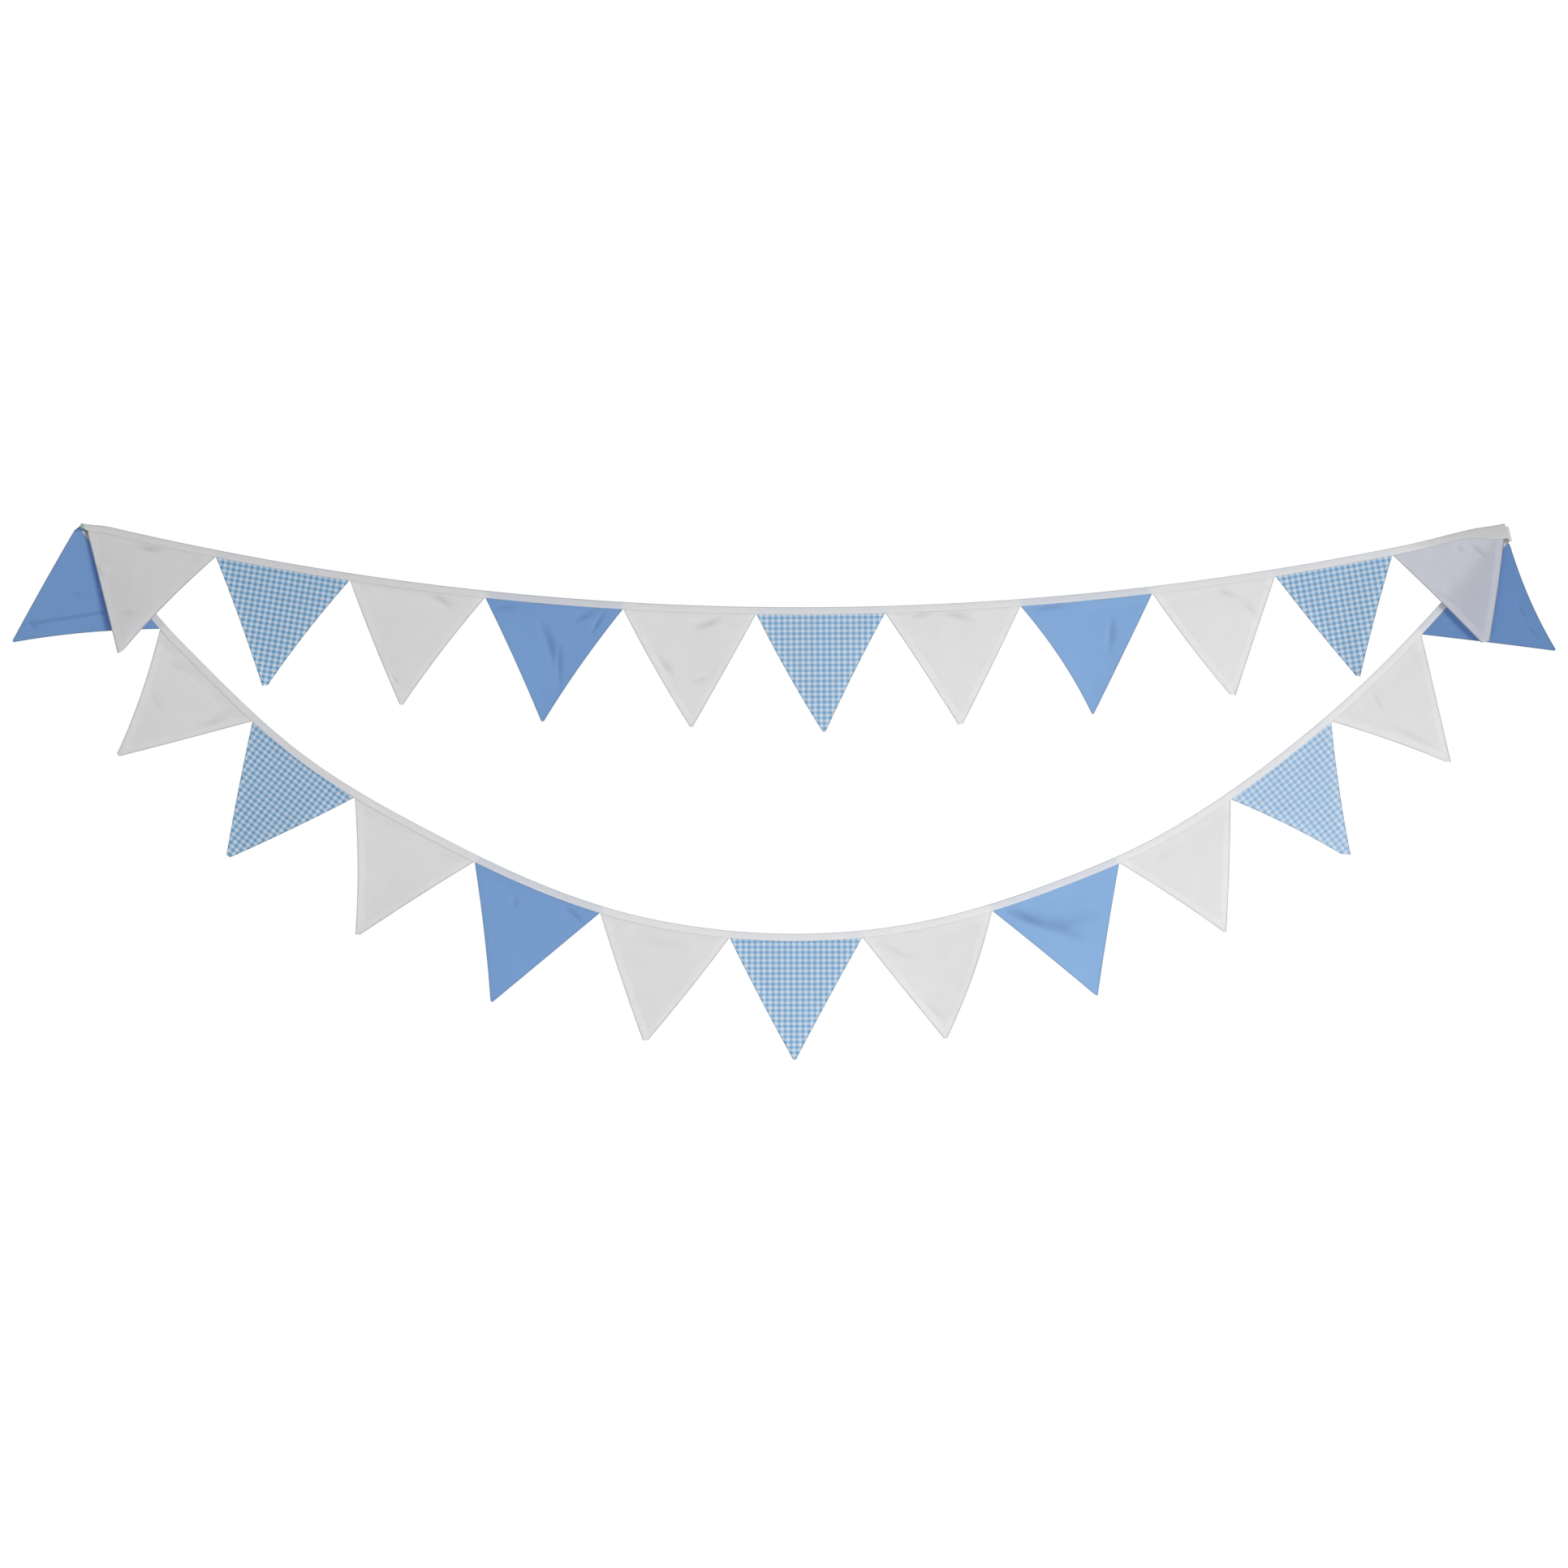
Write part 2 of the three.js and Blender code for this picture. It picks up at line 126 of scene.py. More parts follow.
# The main creases of each flag, on its flat cut: from (x1, y1) to (x2, y2), with x across from its upper left
# corner and y down from the tape. bow: how far the crease bends sideways. width: half of how wide it is.
# rise: how far it stands forward, or back where it is a trough.
Crease = namedtuple("Crease", "x1 y1 x2 y2 bow width rise")
CREASES = {
    "upper_01": [
        Crease(0.066, 0.010, 0.124, 0.003, 0.002, 0.006, -0.0018),
        Crease(0.060, 0.114, 0.104, 0.106, 0.001, 0.004, -0.0009),
        Crease(0.022, 0.041, 0.051, 0.063, 0.002, 0.009, 0.0012),
    ],
    "upper_03": [
        Crease(0.029, 0.004, 0.125, 0.006, -0.004, 0.007, -0.0019),
        Crease(0.108, 0.003, 0.168, 0.026, -0.003, 0.006, -0.0021),
        Crease(0.078, 0.132, 0.093, 0.151, 0.0, 0.003, -0.0010),
    ],
    "upper_04": [
        Crease(0.005, 0.019, 0.058, 0.008, -0.001, 0.0045, -0.0016),
        Crease(0.080, 0.018, 0.118, 0.112, -0.004, 0.008, -0.0023),
        Crease(0.120, 0.048, 0.126, 0.136, 0.003, 0.005, -0.0015),
        Crease(0.187, 0.000, 0.163, 0.046, 0.001, 0.0035, -0.0023),
        Crease(0.130, 0.031, 0.176, 0.002, 0.0, 0.006, -0.0018),
    ],
    "upper_05": [
        Crease(0.096, 0.030, 0.158, 0.004, 0.002, 0.006, -0.0021),
        Crease(0.050, 0.070, 0.083, 0.099, 0.001, 0.006, -0.0015),
        Crease(0.098, 0.110, 0.138, 0.100, 0.0, 0.004, -0.0012),
    ],
    "upper_07": [
        Crease(0.028, 0.010, 0.080, 0.001, 0.0, 0.005, -0.0018),
        Crease(0.066, 0.001, 0.143, 0.023, -0.003, 0.006, -0.0019),
    ],
    "upper_08": [
        Crease(0.002, 0.005, 0.080, 0.006, 0.0, 0.006, -0.0021),
        Crease(0.138, 0.014, 0.124, 0.094, -0.002, 0.007, -0.0019),
    ],
    "upper_09": [
        Crease(0.084, 0.003, 0.130, 0.027, -0.002, 0.005, -0.0014),
        Crease(0.121, 0.021, 0.158, 0.066, -0.002, 0.006, -0.0012),
    ],
    "upper_11": [
        Crease(0.112, 0.001, 0.143, 0.043, -0.002, 0.004, -0.0018),
        Crease(0.044, 0.053, 0.088, 0.095, 0.002, 0.006, 0.0015),
        Crease(0.098, 0.000, 0.104, 0.022, 0.0, 0.003, -0.0012),
    ],
    "lower_01": [
        Crease(0.050, 0.178, 0.114, 0.072, 0.001, 0.0032, -0.0022),
        Crease(0.086, 0.118, 0.134, 0.034, 0.001, 0.0032, -0.0021),
        Crease(0.058, 0.146, 0.088, 0.150, 0.002, 0.0032, -0.0018),
        Crease(0.067, 0.073, 0.092, 0.064, 0.0, 0.005, -0.0010),
    ],
    "lower_02": [
        Crease(0.032, 0.029, 0.077, 0.016, 0.002, 0.005, -0.0012),
        Crease(0.052, 0.081, 0.098, 0.088, 0.001, 0.006, -0.0008),
        Crease(0.138, 0.082, 0.170, 0.000, 0.003, 0.007, -0.0010),
    ],
    "lower_05": [
        Crease(0.144, 0.008, 0.197, 0.027, 0.001, 0.004, -0.0023),
        Crease(0.073, 0.018, 0.084, 0.048, 0.0, 0.005, -0.0012),
    ],
    "lower_06": [
        Crease(0.034, 0.032, 0.162, 0.036, -0.006, 0.009, -0.0008),
        Crease(0.050, 0.050, 0.130, 0.060, 0.004, 0.010, 0.0010),
    ],
    "lower_08": [
        Crease(0.011, 0.002, 0.079, 0.056, 0.003, 0.006, -0.0009),
        Crease(0.066, 0.108, 0.104, 0.154, 0.002, 0.005, -0.0008),
    ],
    "lower_09": [
        Crease(0.000, -0.012, 0.100, 0.076, 0.002, 0.0085, -0.0034),
        Crease(0.052, 0.020, 0.124, 0.106, -0.001, 0.011, -0.0017),
        Crease(0.060, 0.048, 0.166, 0.066, 0.001, 0.014, -0.0013),
    ],
    "lower_12": [
        Crease(0.078, 0.001, 0.065, 0.049, 0.001, 0.004, -0.0008),
        Crease(0.052, 0.053, 0.088, 0.150, -0.002, 0.005, -0.0010),
    ],
    "lower_13": [
        Crease(0.117, 0.108, 0.113, 0.142, 0.001, 0.003, -0.0009),
        Crease(0.135, 0.072, 0.118, 0.110, 0.0, 0.004, -0.0008),
    ],
}
CREASE_DEEP = 0.0023
CREASE_STEEP_SIDE = 0.6
CREASE_END = 0.5

# Steps of the cloth
FLAG_COLUMNS = 72
FLAG_ROWS = 62
TUCK_ROWS = 2
TAPE_STEP = 0.009
TAPE_ROWS = 20
FOLD_STEPS = 18

# Topstitching of the tape
STITCH_PITCH = 0.0032
STITCH_LENGTH = 0.0023
STITCH_THICK = 0.00016
STITCH_FROM_EDGE = 0.0018

# The photograph's frame
PHOTO_CENTRE = Vector((-0.0128, 0.0, -0.3956))
PHOTO_WIDTH = 2.407
CAMERA_AWAY = 3.0
FLOOR_LEVEL = -2.4
BRIGHT_SPOT = (8.0, -7.0, FLOOR_LEVEL)
FRONT_GLOW = 0.232
BACK_GLOW = 0.84


def mix(a, b, share):
    return a + (b - a) * share


def smooth(value, low, high):
    share = min(1.0, max(0.0, (value - low) / (high - low)))
    return share * share * (3 - 2 * share)


class Swag:
    """A swag's top edge in the wall's plane, by the distance along it from its low point."""

    def __init__(self, name, param, low, strays, depths, tape_ends, flag_ends, pinch, shoulders):
        self.name = name
        self.param = param
        self.low = Vector(low)
        self.strays = strays
        self.depths = depths
        self.pinch = pinch
        self.shoulders = shoulders
        self.left, self.right = (self.along(x) for x in tape_ends)
        self.flags_left, self.flags_right = (self.along(x) for x in flag_ends)

    def along(self, x):
        return self.param * math.sinh((x - self.low.x) / self.param)

    def stray(self, s):
        """How far the edge lies below a catenary."""
        share = min(1.0, max(0.0, (s - self.left) / (self.right - self.left)))
        after = next(i for i, (place, _) in enumerate(self.strays) if i > 0 and place >= share)
        (start, before), (end, then) = self.strays[after - 1], self.strays[after]
        return mix(before, then, smooth(share, start, end))

    def at(self, s):
        """The edge's point, and the direction down and square to it."""
        reach = math.asinh(s / self.param)
        slope = math.atan(s / self.param)
        down = Vector((math.sin(slope), -math.cos(slope)))
        point = self.low + Vector((self.param * reach, self.param * (math.cosh(reach) - 1)))
        return point + down * self.stray(s), down

    def forward(self, s):
        """How far in front of the wall the middle of the tape is."""
        depths = self.depths
        from_left = mix(depths.left, depths.middle, smooth(s - self.left, OPEN_LENGTH, DEPTH_RAMP))
        return mix(depths.right, from_left, smooth(self.right - s, OPEN_LENGTH, DEPTH_RAMP))


UPPER = Swag(
    name="upper",
    param=4.564,
    low=(0.009, -0.1247),
    strays=[(0, 0.004), (0.02, -0.0006), (0.93, 0.0), (0.975, -0.0026), (1, 0.0005)],
    depths=UPPER_DEPTHS,
    tape_ends=(-1.0908, 1.0925),
    flag_ends=(-1.0795, 1.092),
    pinch=0.3,
    shoulders=(0, 0),
)
LOWER = Swag(
    name="lower",
    param=1.057,
    low=(0.0016, -0.6244),
    strays=[
        (0, -0.0106), (0.09, -0.001), (0.18, 0.0045), (0.29, -0.0055), (0.42, 0.001),
        (0.55, 0.0015), (0.65, -0.0016), (0.73, 0.0028), (0.84, 0.0004), (1, -0.004),
    ],
    depths=LOWER_DEPTHS,
    tape_ends=(-1.091, 1.095),
    flag_ends=(-1.0962, 1.0885),
    pinch=1.0,
    shoulders=(0.0075, 0.012),
)


class FlagCloth:
    """One flag's middle surface and its flat cut. across runs from its left edge to its right, and down from
    the tape's edge to its tip."""

    def __init__(self, swag, start, end, flag, seed, shoulders):
        self.swag = swag
        self.start = start
        self.end = end
        self.flag = flag
        self.seed = seed
        name = f"{swag.name}_{seed:02d}"
        self.creases = CREASES.get(name, [])
        self.shoulders = shoulders
        self.paler = PALER.get(name, 0.0)
        self.painted_shade = PAINTED_FLAG_SHADE.get(name, 0.0)
        self.denser = DENSER.get(name, 0.0)
        self.corners = [self.under_tape(share, TAPE_WIDTH) for share in (0, 1)]
        self.side = (self.corners[1] - self.corners[0]).normalized()
        self.out = Vector((self.side.y, -self.side.x))
        tip = mix(*self.corners, 0.5) + self.out * flag.height + self.side * flag.shift
        self.tips = [tip + (self.side * flag.tip - self.out * flag.slant) * share for share in (-0.5, 0.5)]

    def under_tape(self, across, from_top):
        point, down = self.swag.at(mix(self.start + SEAM_GAP, self.end - SEAM_GAP, across))
        return point + down * from_top

    def sides(self, down):
        """The points of its left and right edge."""
        flag = self.flag
        swell = 4 * down * (1 - down)
        bows = (-flag.bow_l * swell, flag.bow_r * swell)
        points = []
        for corner, tip, bow, shoulder in zip(self.corners, self.tips, bows, self.shoulders):
            fallen = down * flag.height
            straight = self.out * min(fallen, shoulder)
            slanted = max(0.0, (fallen - shoulder) / (flag.height - shoulder))
            points.append(mix(corner + straight, tip, slanted) + self.side * bow)
        return points

    def outline(self, across, down):
        """A point of the wall's plane."""
        if down < 0:
            return self.under_tape(across, TAPE_WIDTH + down * TUCK)
        curve = self.under_tape(across, TAPE_WIDTH) - mix(*self.corners, across)
        return mix(*self.sides(down), across) + curve * (1 - down) ** 2

    def cut(self, point):
        """Its place on the flat cut, across from the upper left corner and down from the tape."""
        from_corner = point - self.corners[0]
        return from_corner.dot(self.side), from_corner.dot(self.out)

    def from_edge(self, across, down):
        """How far a point is from the nearer of its two long edges."""
        left, right = self.sides(max(0.0, down))
        row = (right - left).length
        slants = [
            abs((tip - corner).normalized().dot(self.out))
            for corner, tip in zip(self.corners, self.tips)
        ]
        return min(across * row * slants[0], (1 - across) * row * slants[1])

    def creased(self, x, y):
        """How far its creases lift a place on its flat cut."""
        return sum(crease_rise(crease, x, y) for crease in self.creases) * smooth(y, 0, 0.006)

    def forward(self, across, down, x, y):
        """How far in front of the wall it hangs, with its curls, creases and small unevenness."""
        flag = self.flag
        hung = self.swag.forward(mix(self.start, self.end, across))
        if down < 0:
            return hung
        free = max(0.0, (down * flag.height - FLAT_UNDER_TAPE) / (flag.height - FLAT_UNDER_TAPE))
        curl = flag.curl_l * (1 - across) ** 2 + flag.curl_r * across ** 2
        swell = flag.belly * 4 * across * (1 - across)
        bulge = math.sin(math.pi * free ** BULGE_CURVE)
        lifted = flag.lean * free ** LEAN_CURVE + (curl + swell) * bulge + self.creased(x, y)
        return max(CLOSEST_TO_WALL, hung + lifted + cloth_unevenness(x, y, self.seed))


def crease_rise(crease, x, y):
    """How far a crease lifts the cloth at a place on its flat cut."""
    start = Vector((crease.x1, crease.y1))
    run = Vector((crease.x2, crease.y2)) - start
    place = Vector((x, y)) - start
    share = place.dot(run) / run.length_squared
    if not 0 < share < 1:
        return 0.0
    aside = (run.x * place.y - run.y * place.x) / run.length - crease.bow * 4 * share * (1 - share)
    width = crease.width * (CREASE_STEEP_SIDE if aside > 0 else 1)
    ends = smooth(share, 0, CREASE_END) * smooth(1 - share, 0, CREASE_END)
    return crease.rise * ends * math.exp(-(aside / width) ** 2)


def cloth_unevenness(x, y, seed):
    """Soft waves in the pressed cloth, small rumples, and the puckers that the stitching draws below the tape."""
    waves = 0.0006 * noise.noise(Vector((x * 15, y * 15, seed * 7.3)))
    rumples = 0.00016 * noise.noise(Vector((x * 70, y * 55, seed * 3.1)))
    puckers = 0.00022 * noise.noise(Vector((x * 150, 0, seed * 5.7))) * (1 - smooth(y, 0, 0.016))
    return (waves + rumples) * smooth(y, 0, 0.03) + puckers * smooth(y, 0, 0.002)


def mesh_from(name, work):
    mesh = bpy.data.meshes.new(name)
    work.to_mesh(mesh)
    work.free()
    return mesh


def finished_piece(name, mesh, material, node):
    """Makes an object of a mesh, which takes a CAD node's place if it names one."""
    mesh.materials.append(material)
    mesh.shade_smooth()
    piece = bpy.data.objects.new(name, mesh)
    bpy.context.scene.collection.objects.link(piece)
    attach(piece, "root")
    if node:
        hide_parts(node)
    return piece


def give_thickness(piece, thickness, rounding):
    """Turns a sheet into closed cloth with rounded folded edges."""
    solid = piece.modifiers.new("thickness", "SOLIDIFY")
    solid.thickness = thickness
    solid.offset = 0
    rounded = piece.modifiers.new("rounded edges", "BEVEL")
    rounded.limit_method = "ANGLE"
    rounded.angle_limit = math.radians(60)
    rounded.width = rounding
    rounded.segments = 2
    rounded.profile = 0.5
    rounded.harden_normals = True


def flag_piece(cloth, node, material):
    """A flag: a grid laid on its cloth, thickened, with its flat cut as its UV map."""
    work = bmesh.new()
    bmesh.ops.create_grid(work, x_segments=FLAG_COLUMNS, y_segments=FLAG_ROWS, size=0.5)
    cut_map = work.loops.layers.uv.new("cut")
    edge_layer = work.verts.layers.float.new("from_edge")
    paler_layer = work.verts.layers.float.new("paler")
    painted_shade_layer = work.verts.layers.float.new("painted_shade")
    denser_layer = work.verts.layers.float.new("denser")
    crease_shade_layer = work.verts.layers.float.new("trough")
    cuts = {}
    for vert in work.verts:
        across = vert.co.x + 0.5
        row = (0.5 - vert.co.y) * FLAG_ROWS - TUCK_ROWS
        down = row / TUCK_ROWS if row < 0 else row / (FLAG_ROWS - TUCK_ROWS)
        point = cloth.outline(across, down)
        x, y = cloth.cut(point)
        cuts[vert] = (x, -y)
        vert[edge_layer] = cloth.from_edge(across, down)
        vert[paler_layer] = cloth.paler
        # How much painted shade greys the whole flag, where it hangs in less light.
        vert[painted_shade_layer] = cloth.painted_shade
        vert[denser_layer] = cloth.denser
        # Painted shade in the creases' troughs, by how deep they are.
        vert[crease_shade_layer] = max(0.0, -cloth.creased(x, y) / CREASE_DEEP)
        vert.co = Vector((point.x, -cloth.forward(across, down, x, y), point.y))
    for face in work.faces:
        for loop in face.loops:
            loop[cut_map].uv = cuts[loop.vert]
    flag = cloth.flag
    name = f"{node}_cloth"
    piece = finished_piece(name, mesh_from(name, work), material, node)
    give_thickness(piece, FLAG_THICK, FLAG_THICK * 0.36)
    flag.height + TUCK
    (flag.width + flag.tip) / 2 * flag.height + flag.width * TUCK
    return piece


def flag_pieces(swag, flags, cloths):
    total = sum(flag.width for flag in flags)
    done = 0
    for number, flag in enumerate(flags, 1):
        start = mix(swag.flags_left, swag.flags_right, done / total)
        done += flag.width
        end = mix(swag.flags_left, swag.flags_right, done / total)
        left, right = swag.shoulders
        shoulders = (left if number == 1 else 0, right if number == len(flags) else 0)
        cloth = FlagCloth(swag, start, end, flag, number, shoulders)
        flag_piece(cloth, f"flag_{swag.name}_{number:02d}_{flag.cloth}", cloths[flag.cloth])


# How much of each cloth's blue shows through the tape where its flag is sewn in
SHOWS_THROUGH = {"white": 0.0, "gingham": 0.35, "blue": 1.0}

# A place along the tape: the point on its folded edge, the vector across its width, how far in front of the
# wall its middle is, the direction that its inner face looks in, and how much blue shows through it
Station = namedtuple("Station", "point across forward inward blue")


def blue_inside(swag, flags, s):
    """How much blue shows through the tape at a place along a swag."""
    total = sum(flag.width for flag in flags)
    share = (s - swag.flags_left) / (swag.flags_right - swag.flags_left)
    done = 0
    for flag in flags:
        done += flag.width
        if share * total <= done:
            return SHOWS_THROUGH[flag.cloth]
    return 0.0


def swag_stations(swag, flags, inward):
    """The tape's stations along a swag, from left to right."""
    crease = (FOLD_BOTTOM - FOLD_TOP).normalized() * OPEN_WIDTH
    count = math.ceil((swag.right - swag.left) / TAPE_STEP)
    stations = []
    for i in range(count + 1):
        s = mix(swag.left, swag.right, i / count)
        point, down = swag.at(s)
        opened = smooth(s, swag.right - OPEN_LENGTH, swag.right)
        pinched = mix(swag.pinch, 1, smooth(s - swag.left, PINCH_START, PINCH_LENGTH))
        across = mix(down * TAPE_WIDTH * pinched, crease, opened)
        stations.append(Station(point, across, swag.forward(s), inward, blue_inside(swag, flags, s)))
    return stations


def fold_stations():
    """The stations round the right pin, where the tape folds back behind itself."""
    crease = FOLD_BOTTOM - FOLD_TOP
    crease_out = Vector((-crease.y, crease.x)).normalized()
    radius = (UPPER_DEPTHS.right - LOWER_DEPTHS.right) / 2
    centre = (UPPER_DEPTHS.right + LOWER_DEPTHS.right) / 2
    stations = []
    for i in range(1, FOLD_STEPS):
        turn = math.pi * i / FOLD_STEPS
        outward = math.sin(turn)
        inward = Vector((-crease_out.x * outward, math.cos(turn), -crease_out.y * outward))
        point = FOLD_TOP + crease_out * radius * outward
        stations.append(Station(point, crease, centre + radius * math.cos(turn), inward, 0.0))
    return stations


def tape_stations():
    upper = swag_stations(UPPER, UPPER_FLAGS, Vector((0, 1, 0)))
    lower = swag_stations(LOWER, LOWER_FLAGS, Vector((0, -1, 0)))
    return [*upper, *fold_stations(), *reversed(lower)]


def station_places(stations):
    """How far along the tape each station is."""
    places = [0.0]
    for one, other in zip(stations, stations[1:]):
        step = Vector((other.point.x - one.point.x, other.forward - one.forward, other.point.y - one.point.y))
        places.append(places[-1] + step.length)
    return places


def tape_section(place):
    """Across and depth of the tape's cloth, for a place from -1, the edge behind the flags, over the fold at 0
    to 1, the edge in front of them. Depth is measured towards the front."""
    over_fold = min(1.0, abs(place) / 0.16)
    depth = TAPE_WALL_AT * math.sin(over_fold * math.pi / 2)
    if over_fold < 1:
        across = TAPE_FOLD * (1 - math.cos(over_fold * math.pi / 2))
    else:
        across = mix(TAPE_FOLD, TAPE_WIDTH, (abs(place) - 0.16) / 0.84)
        depth = mix(TAPE_WALL_AT, TAPE_EDGE_AT, (abs(place) - 0.16) / 0.84)
    return across, math.copysign(depth, place)


def on_tape(station, along, place, lift=0.0):
    """A point of the tape's cloth, lifted off it by lift."""
    across, depth = tape_section(place)
    rumple = 0.00003 * noise.noise(Vector((along * 60, across * 90, 2.0 if place > 0 else 9.0)))
    depth += math.copysign(lift + rumple * smooth(across, 0.002, TAPE_WIDTH), place)
    flat = station.point + station.across * (across / TAPE_WIDTH)
    return Vector((flat.x, -station.forward, flat.y)) - station.inward * depth


def tape_piece(stations, places, material):
    """The tape: a grid folded over the flags' top edges."""
    work = bmesh.new()
    steps = len(stations) - 1
    bmesh.ops.create_grid(work, x_segments=steps, y_segments=TAPE_ROWS, size=0.5)
    strip_map = work.loops.layers.uv.new("cut")
    blue_layer = work.verts.layers.float.new("blue_inside")
    cuts = {}
    for vert in work.verts:
        index = round((vert.co.x + 0.5) * steps)
        place = -vert.co.y * 2
        cuts[vert] = (places[index], place * (TAPE_WIDTH + TAPE_FOLD / 2))
        vert[blue_layer] = stations[index].blue
        vert.co = on_tape(stations[index], places[index], place)
    for face in work.faces:
        for loop in face.loops:
            loop[strip_map].uv = cuts[loop.vert]
    bmesh.ops.recalc_face_normals(work, faces=work.faces)
    piece = finished_piece("tape_cloth", mesh_from("tape_cloth", work), material, "tape")
    give_thickness(piece, TAPE_THICK, TAPE_THICK * 0.36)
    return piece


def one_stitch():
    """The points and faces of one topstitch, which lies along X."""
    work = bmesh.new()
    bmesh.ops.create_uvsphere(work, u_segments=6, v_segments=4, radius=1)
    bmesh.ops.scale(work, verts=work.verts, vec=(STITCH_LENGTH / 2, STITCH_THICK, STITCH_THICK))
    points = [vert.co.copy() for vert in work.verts]
    faces = [[vert.index for vert in face.verts] for face in work.faces]
    work.free()
    return points, faces


def stitch_piece(stations, places, material):
    """Both faces' rows of topstitches, as one mesh."""
    points, faces = one_stitch()
    row = 1 - STITCH_FROM_EDGE / TAPE_WIDTH
    index = 0
    all_points = []
    for i in range(1, int(places[-1] / STITCH_PITCH)):
        along = i * STITCH_PITCH
        while places[index + 1] < along:
            index += 1
        share = (along - places[index]) / (places[index + 1] - places[index])
        for side in (1, -1):
            before, after = (
                on_tape(station, along, side * row, TAPE_THICK / 2)
                for station in (stations[index], stations[index + 1])
            )
            turn = (after - before).to_track_quat("X", "Z").to_matrix()
            middle = mix(before, after, share)
            all_points.extend(middle + turn @ point for point in points)
    count = len(all_points) // len(points)
    all_faces = [[i * len(points) + corner for corner in face] for i in range(count) for face in faces]
    mesh = bpy.data.meshes.new("tape_topstitching")
    mesh.from_pydata(all_points, [], all_faces)
    return finished_piece("tape_topstitching", mesh, material, None)


def pin_piece(name, place, under_head, material):
    """A pin from the wall's face to its domed head: its profile spun once round."""
    rim = under_head + PIN_RIM
    dome = [(math.radians(angle), PIN_DOME - PIN_RIM) for angle in range(0, 91, 15)]
    profile = [(0, 0), (PIN_SHANK_R, 0), (PIN_SHANK_R, under_head), (PIN_HEAD_R * 0.9, under_head)]
    profile += [(PIN_HEAD_R, under_head + PIN_RIM * 0.3)]
    profile += [(PIN_HEAD_R * math.cos(turn), rim + rise * math.sin(turn)) for turn, rise in dome]
    work = bmesh.new()
    verts = [work.verts.new((place.x + r, -forward, place.y)) for r, forward in profile]
    edges = [work.edges.new(pair) for pair in zip(verts, verts[1:])]
    bmesh.ops.spin(
        work,
        geom=verts + edges,
        cent=(place.x, 0, place.y),
        axis=(0, 1, 0),
        angle=math.tau,
        steps=40,
        use_merge=True,
    )
    bmesh.ops.remove_doubles(work, verts=work.verts, dist=1e-6)
    bmesh.ops.recalc_face_normals(work, faces=work.faces)
    return finished_piece(f"{name}_tack", mesh_from(name, work), material, name)


class Wire:
    """A socket of a finish's nodes. Arithmetic on it adds Math nodes."""

    def __init__(self, finish, socket):
        self.finish = finish
        self.socket = socket

    def math(self, operation, *values):
        return self.finish.node("ShaderNodeMath", {"operation": operation}, dict(enumerate(values)))

    def __add__(self, other):
        return self.math("ADD", self, other)

    def __sub__(self, other):
        return self.math("SUBTRACT", self, other)

    def __rsub__(self, other):
        return self.math("SUBTRACT", other, self)

    def __mul__(self, other):
        return self.math("MULTIPLY", self, other)

    __radd__ = __add__
    __rmul__ = __mul__

    def sine(self):
        return self.math("SINE", self)

    def size(self):
        return self.math("ABSOLUTE", self)

    def held(self):
        """Kept between 0 and 1."""
        return self.finish.node("ShaderNodeClamp", {}, {"Value": self})

    def step(self, low, high):
        """0 below low, 1 above high, and smooth between them."""
        return self.finish.node(
            "ShaderNodeMapRange",
            {"interpolation_type": "SMOOTHSTEP"},
            {"Value": self, "From Min": low, "From Max": high},
        )


class Finish:
    """A material and the nodes that give it its look."""

    def __init__(self, name):
        self.material = bpy.data.materials.new(name)
        self.material.use_nodes = True
        self.nodes = self.material.node_tree.nodes
        self.links = self.material.node_tree.links
        self.nodes.clear()

    def node(self, kind, settings, sockets, output=0):
        """Adds a node and gives back one of its outputs."""
        node = self.nodes.new(kind)
        for name, value in settings.items():
            setattr(node, name, value)
        for name, value in sockets.items():
            if isinstance(value, Wire):
                self.links.new(value.socket, node.inputs[name])
            else:
                node.inputs[name].default_value = value
        return Wire(self, node.outputs[output]) if node.outputs else node

    def cut(self):
        """The place on the cloth's flat cut, in metres."""
        place = self.node("ShaderNodeUVMap", {"uv_map": "cut"}, {})
        return [self.node("ShaderNodeSeparateXYZ", {}, {"Vector": place}, axis) for axis in ("X", "Y")]

    def spread(self, name):
        """A number that the mesh carries."""
        return self.node("ShaderNodeAttribute", {"attribute_name": name}, {}, "Fac")

    def speckle(self, x, y, detail=2.0):
        """Noise between 0 and 1 at a place that is scaled already."""
        place = self.node("ShaderNodeCombineXYZ", {}, {"X": x, "Y": y})
        return self.node("ShaderNodeTexNoise", {}, {"Vector": place, "Scale": 1.0, "Detail": detail})

    def mix_colours(self, first, second, share):
        return self.node(
            "ShaderNodeMix", {"data_type": "RGBA"}, {0: share, 6: first, 7: second}, output=2
        )

    def shade(self, colour, amount):
        """A colour made lighter or darker by amount."""
        vector = colour if isinstance(colour, Wire) else colour[:3]
        return self.node("ShaderNodeVectorMath", {"operation": "SCALE"}, {"Vector": vector, "Scale": amount})

    def bump(self, height):
        """The normal of a surface raised by height, in metres."""
        return self.node(
            "ShaderNodeBump", {}, {"Height": height, "Strength": 1.0, "Distance": 1.0}
        )

    def close(self, shader):
        self.node("ShaderNodeOutputMaterial", {}, {"Surface": shader})
        return self.material


def rgb(red, green, blue):
    return (red, green, blue, 1.0)


